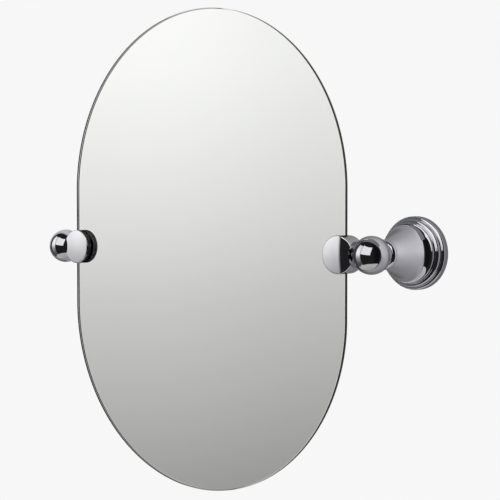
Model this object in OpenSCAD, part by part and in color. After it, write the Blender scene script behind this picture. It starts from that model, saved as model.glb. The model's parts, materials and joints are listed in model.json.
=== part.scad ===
// Tilting wall mirror: an oblong pane with round ends, held at mid height by a
// round chromed clamp on each long edge. Each clamp turns on a pin in a chromed
// ball, and the ball stands on a bell-shaped wall flange.
//
// Millimetres. +Z is up, +Y points into the wall, and the wall is the plane
// y = 0. The origin lies on the wall, midway between the two flanges, at the
// height of the tilt axis. Pieces are drawn on the right (+X) side and mirrored.

/* [Glass] */
// Width of the pane across the tilt axis
glass_w = 375; // [300:5:460]
// Height of the pane over its round ends
glass_h = 500; // [480:5:700]
// Thickness of the float glass
glass_t = 4; // [4:0.5:6]
// Width of the polished bevel along the pane's edges
glass_arris = 0.6; // [0.3:0.1:1.2]
// Silvering and backing paint on the rear face
film_t = 0.3; // [0.2:0.1:0.5]
// Bare rim of glass that the silvering leaves free
film_inset = 0.2; // [0.2:0.1:3]

/* [Tilt axis] */
// Distance of the tilt axis from the wall
pivot_reach = 77; // [70:1:110]
// Distance of the tilt axis behind the front face of the glass
pivot_behind_face = 7.1; // [7.1:0.1:9]

/* [Clamp] */
// Diameter of the round clamp
clamp_d = 37; // [34:0.2:42]
// Distance of the clamp's centre inside the edge of the glass
clamp_inset = 5.2; // [5:0.1:7]
// How far the rim of the cap stands in front of the glass
cap_rise = 6; // [5.5:0.5:9]
// Extra height of the cap's domed face at its centre
cap_crown = 0.7; // [0.3:0.1:1.5]
// How far the clamp's rear face lies behind the front of the glass
clamp_depth = 14; // [13:0.5:20]
// Rounding of the clamp's front and rear edges
clamp_round = 1.1; // [0.5:0.1:1.6]
// Free gap between the ball and the dish that it swings in
dish_gap = 3.2; // [2:0.1:3.6]
// Diameter of the boss that carries the pin out of the dish
boss_d = 15; // [13:0.5:15]
// Thickness of the soft pads on both faces of the glass
pad_t = 0.5; // [0.5:0.1:1]
// Thickness of the soft strip along the edge of the glass
edge_pad_t = 0.6; // [0.5:0.1:0.8]
// Diameter of the two screws that draw cap and body together
clamp_screw_d = 3; // [2.5:0.5:3]
// Distance between the two clamp screws
clamp_screw_pitch = 21; // [20:0.5:22]
// Depth of each screw's thread in the cap
clamp_screw_grip = 3.6; // [3:0.1:4]

/* [Ball] */
// Diameter of the ball
ball_d = 37; // [35:0.5:38]
// Distance of the ball's centre outside the edge of the glass
ball_offset = 25.6; // [25.2:0.1:28]
// Distance from the ball's centre to its turned pivot face
ball_pivot_face = 15.5; // [15:0.1:16]
// Diameter of the turned collar round the pivot face
ball_collar_d = 22; // [20:0.5:23]

/* [Pivot pin] */
// Diameter of the pin's journal in the ball
pin_d = 7; // [6.5:0.5:8]
// Diameter of the pin's thread in the clamp
pin_thread_d = 6; // [5:0.5:6]
// Length of the journal past the ball's centre
pin_tail = 8; // [6:0.5:10]
// Diameter of the pin at the bottom of its groove
pin_groove_d = 5.6; // [5:0.1:5.8]
// Thickness of the nylon washer between clamp and ball
pivot_washer_t = 0.5; // [0.4:0.1:0.8]

/* [Neck] */
// Diameter of the round bead between ball and bell
bead_d = 29.2; // [28:0.2:31]
// Rounding of the bead towards the bell
bead_back = 2.6; // [2:0.1:3]
// Rounding of the bead towards the ball, where it falls away more slowly
bead_front = 4.6; // [3.6:0.1:5]
// Length of the spigot between bead and ball
spigot_len = 0.6; // [0.4:0.1:2]
// Diameter of the spigot
spigot_d = 19; // [17:0.5:20]

/* [Flange] */
// Thickness of the flange's rim round the wall plate
rim_wall = 6; // [5.5:0.1:9]
// Radial width of the outer step
step_outer = 2.9; // [2:0.1:3.4]
// Radial width of the middle step
step_middle = 3.4; // [2.4:0.1:4]
// Height of the outer ring above the wall
ring_outer_h = 7.6; // [7:0.1:9]
// Height of the middle ring above the wall
ring_middle_h = 13; // [12:0.1:15]
// Height of the inner ring above the wall
ring_inner_h = 17.8; // [17:0.1:20]
// Rounding of the outer ring's front edge
round_outer = 2.5; // [1.5:0.1:2.7]
// Rounding of the middle ring's front edge
round_middle = 2.4; // [1.2:0.1:2.8]
// Rounding of the inner ring's front edge
round_inner = 0.9; // [0.5:0.1:1.5]
// Diameter of the bell where it meets the bead
bell_neck_d = 26; // [23:0.2:27]
// Wall thickness of the bell
bell_wall = 2.4; // [2:0.1:3]
// Thickness of the solid end that the post screw pulls on
bell_end_t = 6.5; // [5:0.5:9]

/* [Wall plate] */
// Diameter of the plate hidden under the flange
plate_d = 60; // [56:0.5:62]
// Thickness of the plate
plate_t = 8; // [7:0.5:9]
// Distance between the two wall screw holes, one above the other
hole_pitch = 40; // [34:1:42]
// Diameter of the wall screw holes
hole_d = 4.5; // [4:0.5:5]
// Diameter of the countersinks for the wall screws
sink_d = 9; // [8:0.5:10]
// Diameter of the opening in the middle of the plate
plate_bore_d = 22; // [16:1:24]

/* [Fasteners] */
// Diameter of the set screw in the flange's rim
set_screw_d = 4; // [3:0.5:4]
// Height of the set screw above the wall
set_screw_h = 4; // [3.5:0.1:4.4]
// Length of the set screw
set_screw_len = 5; // [4:0.5:5]
// Diameter of the screw that holds ball, neck and bell together
post_screw_d = 6; // [5:0.5:6]
// Diameter of that screw's head
post_head_d = 10; // [9:0.5:11]
// Height of that screw's head
post_head_h = 6; // [4:0.5:7]
// Thickness of the spring washer under that head
spring_washer_t = 1.6; // [1.2:0.1:2]
// Length of the nylon plug that brakes the pin
plug_len = 4; // [3:0.5:5]

/* [Hidden] */

// Clearances
thread_gap = 0.05;  // radial, between a screw and its tapped hole
run_gap = 0.05;     // radial, between the pin's journal and its bore
bolt_gap = 0.2;     // radial, between a screw and a plain hole
fit_gap = 0.3;      // between pieces that slip over each other
past = 1;           // how far a cutter runs past what it cuts
slip_gap = 0.1;     // radial, round the brake plug in the post screw's bore

// Small forms
pad_in = 0.6;       // the pads stay this far inside the clamp's edge
washer_in = 0.5;    // the nylon washer stays this far inside the boss
pin_start = 0.4;    // the pin's thread starts this far outside the slot
boss_start = 0.2;   // the boss grows out of the web this far outside the slot
bead_step = 0.2;    // shoulder that is left round the spigot
turned_edge = 0.5;  // rounding of small turned edges
head_edge = 0.3;    // rounding of the clamp screws' heads
plate_edge = 0.8;   // rounding of the wall plate's front edge
pin_chamfer = 0.6;  // chamfer at the pin's end
root = 0.5;         // how far a screw's shank or a pin's thread runs into its head

// Places along Y, from the wall into the room
pivot_y = -pivot_reach;
face_y = pivot_y - pivot_behind_face;
glass_back_y = face_y + glass_t;
film_back_y = glass_back_y + film_t;
cap_back_y = face_y - pad_t;
body_front_y = film_back_y + pad_t;
body_back_y = face_y + clamp_depth;

// Places along X, from the middle of the pane to the right
edge_x = glass_w / 2;
clamp_x = edge_x - clamp_inset;
slot_x = edge_x + edge_pad_t;
ball_x = edge_x + ball_offset;
pivot_face_x = ball_x - ball_pivot_face;
boss_end_x = pivot_face_x - pivot_washer_t;
groove_w = post_screw_d + 2 * fit_gap;
washer_r = boss_d / 2 - washer_in;

// Heights above the wall, in the flange's own frame
ball_r = ball_d / 2;
seat_r = ball_r + thread_gap;
seat_h = pivot_reach - sqrt(seat_r * seat_r - spigot_d * spigot_d / 4);
bead_r = bead_d / 2;
bead_nose = min(bead_front, bead_r - spigot_d / 2 - bead_step);
bead_w = bead_back + bead_nose;
collar_h = bead_w + spigot_len;
bell_h = seat_h - collar_h;
bell_floor_h = bell_h - bell_end_t;

recess_r = plate_d / 2 + fit_gap;
recess_h = plate_t + fit_gap;
rim_r = recess_r + rim_wall;
middle_r = rim_r - step_outer;
inner_r = middle_r - step_middle;
clamp_r = clamp_d / 2;
dish_r = ball_r + dish_gap;

// Bell profile: where its control lines meet, measured from the inner ring
bell_corner_in = 4.4;
bell_corner_up = 2.8;
bell_pull = 0.72;
bell_steps = 24;
arc_steps = 8;

sink_depth = (sink_d - hole_d) / 2;
set_tip_r = 0.9;
set_groove = 1.2;    // depth of the groove that the set screw's cone enters
set_start = plate_d / 2 - set_groove + thread_gap;

screw_head_d = clamp_screw_d * 1.75;
screw_head_h = clamp_screw_d * 0.8;
screw_head_sink = 0.5;
screw_web = 1.4;     // metal between the slot's floor and the clamp screws
clamp_screw_x = slot_x + clamp_screw_d / 2 + screw_web;
screw_hole_r = clamp_screw_d / 2 + thread_gap;
pin_hole_r = pin_thread_d / 2 + thread_gap;
hex_post = post_screw_d * 5 / 6;
hex_set = set_screw_d / 2;

fine = 128;
round_fn = 64;
small_fn = 48;

// ---------------------------------------------------------------- helpers

// Points of an arc about [x, y], from angle a to angle b in degrees
function arc(x, y, r, a, b, n = arc_steps) =
    [for (i = [0:n]) let (t = a + (b - a) * i / n) [x + r * cos(t), y + r * sin(t)]];

// Points of a cubic curve with end points p and s and handles q and r
function curve(p, q, r, s, n = bell_steps) =
    [for (i = [0:n]) let (t = i / n, u = 1 - t)
        u * u * u * p + 3 * u * u * t * q + 3 * u * t * t * r + t * t * t * s];

module on_left() { mirror([1, 0, 0]) children(); }

// Stands a shape drawn up +Z on the wall, so that it points into the room
module off_wall() { translate([ball_x, 0, 0]) rotate([90, 0, 0]) children(); }

// Lays a shape drawn up +Z along +X, on the tilt axis, from x
module along_axis(x) { translate([x, pivot_y, 0]) rotate([0, 90, 0]) children(); }

// Lays a shape drawn up +Z along +Y on the clamp's centre line, from y
module along_clamp(y, x = clamp_x, z = 0) { translate([x, y, z]) rotate([-90, 0, 0]) children(); }

// A disc up +Z whose edges are rounded at the bottom and at the top
module round_disc(r, h, bottom, top) {
    rotate_extrude($fn = fine)
        polygon(concat(
            [[0, 0]],
            bottom > 0 ? arc(r - bottom, bottom, bottom, -90, 0) : [[r, 0]],
            top > 0 ? arc(r - top, h - top, top, 0, 90) : [[r, h]],
            [[0, h]]));
}

// The pane's outline, grown by g on every side
module pane(g = 0) {
    r = glass_w / 2;
    s = glass_h / 2 - r;
    union() {
        square([2 * (r + g), 2 * s], center = true);
        for (z = [-s, s]) translate([0, z]) circle(r = r + g, $fn = 256);
    }
}

// A slab of the pane's outline from y to y + t
module slab(y, t, g = 0) { translate([0, y + t, 0]) rotate([90, 0, 0]) linear_extrude(t) pane(g); }

// The bevel along one edge: cones round the ends and a slope along the sides
module bevelled_slab(t, a) {
    r = glass_w / 2;
    s = glass_h / 2 - r;
    for (z = [-s, s])
        translate([0, z, 0])
            cylinder(r1 = r - a, r2 = r, h = a, $fn = 256);
    translate([0, s, 0]) rotate([90, 0, 0])
        linear_extrude(2 * s) polygon([[-r + a, 0], [r - a, 0], [r, a], [-r, a]]);
    translate([0, 0, a]) linear_extrude(t - 2 * a) pane();
    for (z = [-s, s])
        translate([0, z, t - a])
            cylinder(r1 = r, r2 = r - a, h = a, $fn = 256);
    translate([0, s, t - a]) rotate([90, 0, 0])
        linear_extrude(2 * s) polygon([[-r, 0], [r, 0], [r - a, a], [-r + a, a]]);
}

// The space that the ball swings in, cut from the clamp
module dish() { translate([ball_x, pivot_y, 0]) sphere(r = dish_r, $fn = round_fn); }

module for_clamp_screws() { for (s = [-1, 1]) translate([0, 0, s * clamp_screw_pitch / 2]) children(); }

// ------------------------------------------------------------------ pane

module mirror_glass() {
    color("lightcyan")
        translate([0, glass_back_y, 0]) rotate([90, 0, 0]) bevelled_slab(glass_t, glass_arris);
}

module silver_film() {
    color("lightgray") slab(glass_back_y, film_t, -glass_arris - film_inset);
}

// --------------------------------------------------------------- bracket

// Plate that is screwed to the wall; the flange slips over it
module wall_plate() {
    color("gray")
        off_wall()
            difference() {
                round_disc(plate_d / 2, plate_t, 0, plate_edge);
                translate([0, 0, -past])
                    cylinder(d = plate_bore_d, h = plate_t + 2 * past, $fn = round_fn);
                for (s = [-1, 1]) translate([0, s * hole_pitch / 2, 0]) {
                    translate([0, 0, -past]) cylinder(d = hole_d, h = plate_t + 2 * past, $fn = round_fn);
                    // 90 degree countersink, run on past the plate's face
                    translate([0, 0, plate_t - sink_depth])
                        cylinder(d1 = hole_d, d2 = sink_d + 2 * past, h = sink_depth + past, $fn = round_fn);
                }
                // groove round the plate for the set screw's cone
                rotate_extrude($fn = fine)
                    translate([plate_d / 2 - set_groove, set_screw_h])
                        polygon([
                            [0, -set_tip_r], [set_groove + past, -set_tip_r - set_groove - past],
                            [set_groove + past, set_tip_r + set_groove + past], [0, set_tip_r]]);
            }
}

// Outside of the flange: three rings stepping in to a bell that rises to the neck
function flange_outside() = concat(
    [[0, 0], [rim_r, 0]],
    arc(rim_r - round_outer, ring_outer_h - round_outer, round_outer, 0, 90),
    [[middle_r, ring_outer_h]],
    arc(middle_r - round_middle, ring_middle_h - round_middle, round_middle, 0, 90),
    [[inner_r, ring_middle_h]],
    arc(inner_r - round_inner, ring_inner_h - round_inner, round_inner, 0, 90),
    bell_line(inner_r - round_inner, ring_inner_h, bell_neck_d / 2, bell_h, 0, 1),
    [[0, bell_h]]);

// Bell curve from [r0, h0] at the rings to [r1, h1] at the neck, without its first point
function bell_line(r0, h0, r1, h1, inset, first) =
    let (corner = [inner_r - round_inner - bell_corner_in - inset, ring_inner_h + bell_corner_up],
         all = curve([r0, h0], corner, corner + (1 - bell_pull) * ([r1, h1] - corner), [r1, h1]))
    [for (i = [first:len(all) - 1]) all[i]];

// Hollow of the flange: a recess for the plate below a conical cavity
function flange_inside() = concat(
    [[0, -past], [recess_r, -past], [recess_r, recess_h]],
    bell_line(inner_r - bell_wall, ring_middle_h, bell_neck_d / 2 - bell_wall, bell_floor_h, bell_wall, 0),
    [[0, bell_floor_h]]);

module flange() {
    color("silver")
        off_wall()
            difference() {
                rotate_extrude($fn = fine) polygon(flange_outside());
                rotate_extrude($fn = fine) polygon(flange_inside());
                translate([0, 0, bell_floor_h - past])
                    cylinder(d = post_screw_d + 2 * bolt_gap, h = bell_end_t + 2 * past, $fn = round_fn);
                translate([0, 0, set_screw_h]) rotate([-90, 0, 0])
                    cylinder(d = set_screw_d + 2 * thread_gap, h = rim_r + past, $fn = small_fn);
            }
}

// Grub screw in the top of the rim: its cone locks into the plate's groove
module set_screw() {
    tip = set_screw_d / 2 - set_tip_r;
    color("dimgray")
        off_wall() translate([0, set_start, set_screw_h]) rotate([-90, 0, 0])
            difference() {
                union() {
                    cylinder(r1 = set_tip_r, r2 = set_screw_d / 2, h = tip, $fn = small_fn);
                    translate([0, 0, tip])
                        cylinder(d = set_screw_d, h = set_screw_len - tip, $fn = small_fn);
                }
                translate([0, 0, set_screw_len / 2])
                    cylinder(d = hex_set, h = set_screw_len, $fn = 6);
            }
}

module post_screw() {
    seat = bell_floor_h - spring_washer_t;
    tip = pivot_reach - pin_groove_d / 2 - fit_gap - plug_len - fit_gap;
    color("dimgray")
        off_wall()
            difference() {
                union() {
                    translate([0, 0, seat - post_head_h])
                        round_disc(post_head_d / 2, post_head_h, turned_edge, 0);
                    translate([0, 0, seat - root])
                        cylinder(d = post_screw_d, h = tip - seat + root, $fn = small_fn);
                }
                translate([0, 0, seat - post_head_h - past])
                    cylinder(d = hex_post, h = post_head_h / 2 + past, $fn = 6);
            }
}

// Split spring washer under the post screw's head
module spring_washer() {
    color("dimgray")
        off_wall() translate([0, 0, bell_floor_h - spring_washer_t])
            difference() {
                cylinder(d = post_head_d, h = spring_washer_t, $fn = small_fn);
                translate([0, 0, -past])
                    cylinder(d = post_screw_d + 2 * bolt_gap, h = spring_washer_t + 2 * past, $fn = small_fn);
                translate([0, -spring_washer_t / 4, -past])
                    cube([post_head_d, spring_washer_t / 2, spring_washer_t + 2 * past]);
            }
}

// Bead and spigot between the end of the bell and the ball
module neck_collar() {
    color("silver")
        off_wall() translate([0, 0, bell_h])
            difference() {
                rotate_extrude($fn = fine)
                    polygon(concat(
                        [[0, 0]],
                        arc(bead_r - bead_back, bead_back, bead_back, -90, 0),
                        arc(bead_r - bead_nose, bead_back, bead_nose, 0, 90, 12),
                        [[spigot_d / 2, bead_w], [spigot_d / 2, collar_h], [0, collar_h]]));
                translate([0, 0, -past])
                    cylinder(d = post_screw_d + 2 * bolt_gap, h = collar_h + 2 * past, $fn = round_fn);
                translate([0, 0, pivot_reach - bell_h]) sphere(r = seat_r, $fn = round_fn);
            }
}

// Ball with a turned pivot face towards the clamp; the neck's spigot is cupped to it
module ball() {
    bore_d = pin_d + 2 * run_gap;
    color("silver")
        difference() {
            union() {
                difference() {
                    along_axis(ball_x) sphere(r = ball_r, $fn = round_fn);
                    translate([pivot_face_x - ball_d, pivot_y - ball_d, -ball_d])
                        cube([ball_d, 2 * ball_d, 2 * ball_d]);
                }
                along_axis(pivot_face_x)
                    round_disc(ball_collar_d / 2, ball_pivot_face / 2, turned_edge, 0);
            }
            along_axis(pivot_face_x - past)
                cylinder(d = bore_d, h = ball_pivot_face + pin_tail + fit_gap + past, $fn = round_fn);
            translate([ball_x, pivot_y, 0]) rotate([-90, 0, 0])
                cylinder(d = post_screw_d + 2 * thread_gap, h = ball_r + past, $fn = round_fn);
        }
}

// Nylon plug: the post screw presses it into the pin's groove as a brake
module friction_plug() {
    color("white")
        translate([ball_x, pivot_y + pin_groove_d / 2 + fit_gap, 0]) rotate([-90, 0, 0])
            cylinder(d = post_screw_d - 2 * slip_gap, h = plug_len, $fn = small_fn);
}

// ------------------------------------------------------------ clamp side

// Shouldered pin: threaded into the clamp's boss, running in the ball
module pivot_pin() {
    thread_start = slot_x + pin_start;
    end_x = ball_x + pin_tail;
    color("darkgray")
        difference() {
            union() {
                along_axis(thread_start)
                    cylinder(d = pin_thread_d, h = boss_end_x - thread_start + root, $fn = round_fn);
                along_axis(boss_end_x)
                    cylinder(d = pin_d, h = end_x - boss_end_x - pin_chamfer, $fn = round_fn);
                along_axis(end_x - pin_chamfer)
                    cylinder(d1 = pin_d, d2 = pin_d - 2 * pin_chamfer, h = pin_chamfer, $fn = round_fn);
            }
            along_axis(ball_x - groove_w / 2)
                difference() {
                    cylinder(d = pin_d + past, h = groove_w, $fn = round_fn);
                    translate([0, 0, -past])
                        cylinder(d = pin_groove_d, h = groove_w + 2 * past, $fn = round_fn);
                }
        }
}

module pivot_washer() {
    color("white")
        along_axis(boss_end_x)
            difference() {
                cylinder(r = washer_r, h = pivot_washer_t, $fn = round_fn);
                translate([0, 0, -past])
                    cylinder(d = pin_d + 2 * run_gap, h = pivot_washer_t + 2 * past, $fn = round_fn);
            }
}

// Rear half of the clamp: disc behind the glass, web past its edge and pin boss
module clamp_body() {
    color("silver")
        difference() {
            union() {
                difference() {
                    along_clamp(cap_back_y) round_disc(clamp_r, body_back_y - cap_back_y, 0, clamp_round);
                    // slot for the pane with its pads
                    translate([clamp_x - clamp_d, cap_back_y - past, -clamp_d])
                        cube([slot_x - clamp_x + clamp_d, body_front_y - cap_back_y + past, 2 * clamp_d]);
                    dish();
                }
                along_axis(slot_x + boss_start)
                    round_disc(boss_d / 2, boss_end_x - slot_x - boss_start, 0, turned_edge);
            }
            along_axis(slot_x - past)
                cylinder(r = pin_hole_r, h = boss_end_x - slot_x + 2 * past, $fn = round_fn);
            for_clamp_screws() {
                along_clamp(cap_back_y - past, clamp_screw_x)
                    cylinder(r = screw_hole_r, h = clamp_depth + 2 * past + pad_t, $fn = small_fn);
                along_clamp(body_back_y - screw_head_h - screw_head_sink, clamp_screw_x)
                    cylinder(d = screw_head_d + 2 * bolt_gap, h = clamp_depth, $fn = small_fn);
            }
        }
}

// Front half of the clamp: a button with a slightly domed face
module clamp_cap() {
    face_r = clamp_r - clamp_round;
    dome_r = (face_r * face_r + cap_crown * cap_crown) / (2 * cap_crown);
    half = asin(face_r / dome_r);
    thick = cap_rise - pad_t;
    color("silver")
        difference() {
            translate([clamp_x, cap_back_y, 0]) rotate([90, 0, 0])
                rotate_extrude($fn = fine)
                    polygon(concat(
                        [[0, 0], [clamp_r, 0]],
                        arc(face_r, thick - clamp_round, clamp_round, 0, 90),
                        arc(0, thick + cap_crown - dome_r, dome_r, 90 - half, 90)));
            dish();
            for_clamp_screws()
                along_clamp(cap_back_y - clamp_screw_grip - fit_gap, clamp_screw_x)
                    cylinder(r = screw_hole_r, h = cap_rise, $fn = small_fn);
        }
}

// Two cheese-head screws from the rear face of the body into the cap
module clamp_screws() {
    head_y = body_back_y - screw_head_sink - screw_head_h;
    shank = head_y - cap_back_y + clamp_screw_grip + root;
    color("dimgray")
        for_clamp_screws()
            difference() {
                union() {
                    along_clamp(head_y, clamp_screw_x)
                        round_disc(screw_head_d / 2, screw_head_h, 0, head_edge);
                    along_clamp(cap_back_y - clamp_screw_grip, clamp_screw_x)
                        cylinder(d = clamp_screw_d, h = shank, $fn = small_fn);
                }
                translate([clamp_screw_x - screw_head_d, head_y + screw_head_h / 2, -clamp_screw_d / 8])
                    cube([2 * screw_head_d, screw_head_h, clamp_screw_d / 4]);
            }
}

// A pad in the shape of the clamp's disc, cut off at the edge of the glass
module face_pad(y, t) {
    intersection() {
        along_clamp(y) cylinder(r = clamp_r - pad_in, h = t, $fn = fine);
        translate([clamp_x - clamp_d, y - past, -clamp_d])
            cube([edge_x - clamp_x + clamp_d - glass_arris, t + 2 * past, 2 * clamp_d]);
    }
}

module front_pad() { color("whitesmoke") face_pad(cap_back_y, pad_t); }

module rear_pad() { color("whitesmoke") face_pad(film_back_y, pad_t); }

// Strip between the edge of the glass and the clamp's web
module edge_pad() {
    reach = clamp_r - 2 * pad_in;
    long = 2 * sqrt(reach * reach - (slot_x - clamp_x) * (slot_x - clamp_x));
    color("whitesmoke")
        translate([edge_x, face_y + glass_arris, -long / 2])
            cube([edge_pad_t, glass_t - 2 * glass_arris, long]);
}

// ----------------------------------------------------------------- nodes

mirror_glass();
silver_film();

wall_plate();  // right_wall_plate
flange();  // right_flange
set_screw();  // right_set_screw
post_screw();  // right_post_screw
spring_washer();  // right_spring_washer
neck_collar();  // right_neck_collar
ball();  // right_ball
friction_plug();  // right_friction_plug
pivot_pin();  // right_pivot_pin
pivot_washer();  // right_pivot_washer
clamp_body();  // right_clamp_body
clamp_cap();  // right_clamp_cap
clamp_screws();  // right_clamp_screws
front_pad();  // right_front_pad
rear_pad();  // right_rear_pad
edge_pad();  // right_edge_pad

on_left() wall_plate();  // left_wall_plate
on_left() flange();  // left_flange
on_left() set_screw();  // left_set_screw
on_left() post_screw();  // left_post_screw
on_left() spring_washer();  // left_spring_washer
on_left() neck_collar();  // left_neck_collar
on_left() ball();  // left_ball
on_left() friction_plug();  // left_friction_plug
on_left() pivot_pin();  // left_pivot_pin
on_left() pivot_washer();  // left_pivot_washer
on_left() clamp_body();  // left_clamp_body
on_left() clamp_cap();  // left_clamp_cap
on_left() clamp_screws();  // left_clamp_screws
on_left() front_pad();  // left_front_pad
on_left() rear_pad();  // left_rear_pad
on_left() edge_pad();  // left_edge_pad
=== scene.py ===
"""Pivot wall mirror: the finished look of every piece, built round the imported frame.

Metres, +Z up, +Y into the wall. Pieces are modelled on the right (+X) side and
mirrored to the left. The file is laid out as a Blender add-on and run as a script.
"""

import json
import math

import bmesh
import bpy
from bpy.props import FloatProperty, FloatVectorProperty, IntProperty, PointerProperty
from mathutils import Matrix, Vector


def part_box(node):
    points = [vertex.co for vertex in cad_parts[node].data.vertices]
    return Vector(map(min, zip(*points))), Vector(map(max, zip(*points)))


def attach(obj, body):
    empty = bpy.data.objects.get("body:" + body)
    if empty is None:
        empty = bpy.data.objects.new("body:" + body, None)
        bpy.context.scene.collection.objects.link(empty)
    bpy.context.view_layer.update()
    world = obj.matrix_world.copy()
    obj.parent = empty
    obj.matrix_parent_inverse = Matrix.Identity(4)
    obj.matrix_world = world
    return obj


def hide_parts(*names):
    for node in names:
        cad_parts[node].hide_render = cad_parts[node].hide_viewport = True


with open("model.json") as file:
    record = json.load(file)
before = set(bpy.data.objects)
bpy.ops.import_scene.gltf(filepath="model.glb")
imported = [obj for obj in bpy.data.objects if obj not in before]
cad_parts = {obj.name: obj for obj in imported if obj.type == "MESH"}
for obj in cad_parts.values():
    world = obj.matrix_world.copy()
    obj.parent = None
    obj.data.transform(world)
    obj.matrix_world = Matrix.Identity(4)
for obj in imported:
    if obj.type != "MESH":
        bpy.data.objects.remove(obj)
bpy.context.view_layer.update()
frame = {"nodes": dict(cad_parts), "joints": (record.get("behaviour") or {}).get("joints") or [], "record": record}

bl_info = {
    "name": "Pivot Wall Mirror",
    "version": (1, 0, 0),
    "blender": (4, 5, 0),
    "location": "View3D > Sidebar > Mirror",
    "description": "Models and dresses a tilting wall mirror on two ball brackets",
    "category": "Object",
}

MM = 0.001
TURN = 2 * math.pi
WELD = 1e-6             # corners closer than this are one
PAST = 1 * MM           # how far a cutter runs past what it cuts
FIT_GAP = 0.3 * MM      # between pieces that slip over each other
THREAD_GAP = 0.05 * MM  # radial, between a screw and its tapped hole
SEAT_GAP = 0.05 * MM    # between the ball and the cup that it stands in
HOLE_STEPS = 48         # steps round a screw hole


# ------------------------------------------------------ places from the frame

def box(node):
    """Lowest and highest corner of a CAD node, as vectors."""
    lo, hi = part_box(node)
    return Vector(lo), Vector(hi)


PANE_LO, PANE_HI = box("mirror_glass")
FILM_LO, FILM_HI = box("silver_film")
RIM_LO, RIM_HI = box("right_flange")
COLLAR_HI = box("right_neck_collar")[1]
BALL_LO, BALL_HI = box("right_ball")
BODY_LO, BODY_HI = box("right_clamp_body")
CAP_LO, CAP_HI = box("right_clamp_cap")
EDGE_PAD_HI = box("right_edge_pad")[1]
REAR_PAD_HI = box("right_rear_pad")[1]
WASHER_LO = box("right_pivot_washer")[0]
PLATE_LO, PLATE_HI = box("right_wall_plate")
SCREWS_LO, SCREWS_HI = box("right_clamp_screws")
SET_SCREW_LO, SET_SCREW_HI = box("right_set_screw")

PIVOT_Y = frame["joints"][0]["pos_m"][1]
RIM_RADIUS = RIM_HI.z
BRACKET_X = RIM_HI.x - RIM_RADIUS
BELL_END = -RIM_LO.y
BALL_RADIUS = BALL_HI.x - BRACKET_X
PIVOT_FACE_X = BALL_LO.x
CLAMP_RADIUS = BODY_HI.z
CLAMP_X = BODY_LO.x + CLAMP_RADIUS
SLOT_X = EDGE_PAD_HI.x
BOSS_END_X = WASHER_LO.x
BODY_FRONT_Y = REAR_PAD_HI.y
SPLIT_Y = CAP_HI.y
SCREWS_X = (SCREWS_LO.x + SCREWS_HI.x) / 2
SET_SCREW_RADIUS = (SET_SCREW_HI.x - SET_SCREW_LO.x) / 2
SET_SCREW_HEIGHT = -(SET_SCREW_LO.y + SET_SCREW_HI.y) / 2


# ------------------------------------------------------------------- settings

def length(name, description, default, high=1.0):
    """A size in metres that a user can change."""
    return FloatProperty(name=name, description=description, default=default,
                         min=0.0, max=high, precision=5, unit="LENGTH")


def colour(name, description, default):
    """A colour that a user can change."""
    return FloatVectorProperty(name=name, description=description, default=default,
                               size=3, min=0.0, max=1.0, subtype="COLOR")


def share(name, description, default):
    """A share from 0 to 1."""
    return FloatProperty(name=name, description=description, default=default,
                         min=0.0, max=1.0, precision=4, subtype="FACTOR")


class PaneSettings(bpy.types.PropertyGroup):
    """Pane of glass and its silvering."""
    arris: length("Arris", "Width of the bevel along the pane's edges", 0.6 * MM)
    optical_gap: length("Optical gap", "Gap between glass and silvering", 0.02 * MM)
    flat_inset: length("Flat inset", "Strip that keeps the flat faces flat at their rims", 0.2 * MM)
    round_steps: IntProperty(name="Outline steps", description="Corners round the two ends together",
                             default=384, min=32, max=1024)
    film_round: length("Paint edge", "Rounding of the backing paint's edge", 0.08 * MM)


class FlangeSettings(bpy.types.PropertyGroup):
    """Bell-shaped flange and the bead on its neck."""
    step_outer: length("Outer step", "Radial width of the outer step", 2.9 * MM)
    step_middle: length("Middle step", "Radial width of the middle step", 3.4 * MM)
    ring_outer: length("Outer ring", "Height of the outer ring above the wall", 7.6 * MM)
    ring_middle: length("Middle ring", "Height of the middle ring above the wall", 13 * MM)
    ring_inner: length("Inner ring", "Height of the inner ring above the wall", 17.8 * MM)
    round_outer: length("Outer shoulder", "Rounding of the outer ring", 2.5 * MM)
    round_middle: length("Middle shoulder", "Rounding of the middle ring", 2.4 * MM)
    round_inner: length("Inner shoulder", "Rounding of the inner ring", 0.9 * MM)
    corner: length("Inner corners", "Fillet where a ring meets the next", 0.35 * MM)
    neck: length("Neck radius", "Radius of the bell's end", 13 * MM)
    wall: length("Wall", "Wall thickness of the bell", 2.4 * MM)
    end: length("End", "Thickness of the bell's solid end", 6.5 * MM)
    bell_in: length("Bell corner, inwards", "How far the curve's corner lies inside the inner ring", 4.4 * MM)
    bell_up: length("Bell corner, outwards", "How far that corner stands above the inner ring", 2.8 * MM)
    bell_pull: share("Bell pull", "How far the neck's handle reaches to that corner", 0.72)
    rim_edge: length("Rim edge", "Bevel of the rim at the wall", 0.25 * MM)
    recess_edge: length("Recess edge", "Bevel of the recess for the wall plate", 0.3 * MM)
    end_edge: length("End edge", "Bevel of the bell's end", 0.1 * MM)
    screw_hole: length("Post screw hole", "Radius of the hole for the post screw", 3.2 * MM)
    sink: length("Countersink", "Width of the bevel round the set screw's hole", 1.7 * MM)
    sink_deep: length("Countersink depth", "Depth of that bevel", 3.3 * MM)
    bead_back: length("Bead, rear", "Rounding of the bead towards the wall", 2.6 * MM)
    bead_front: length("Bead, front", "Rounding of the bead towards the ball", 4.6 * MM)
    bead_step: length("Bead step", "Least shoulder round the spigot", 0.2 * MM)
    spigot: length("Spigot", "Radius of the spigot between bead and ball", 9.5 * MM)
    steps: IntProperty(name="Steps", description="Steps round the flange",
                       default=256, min=32, max=512)


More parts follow.
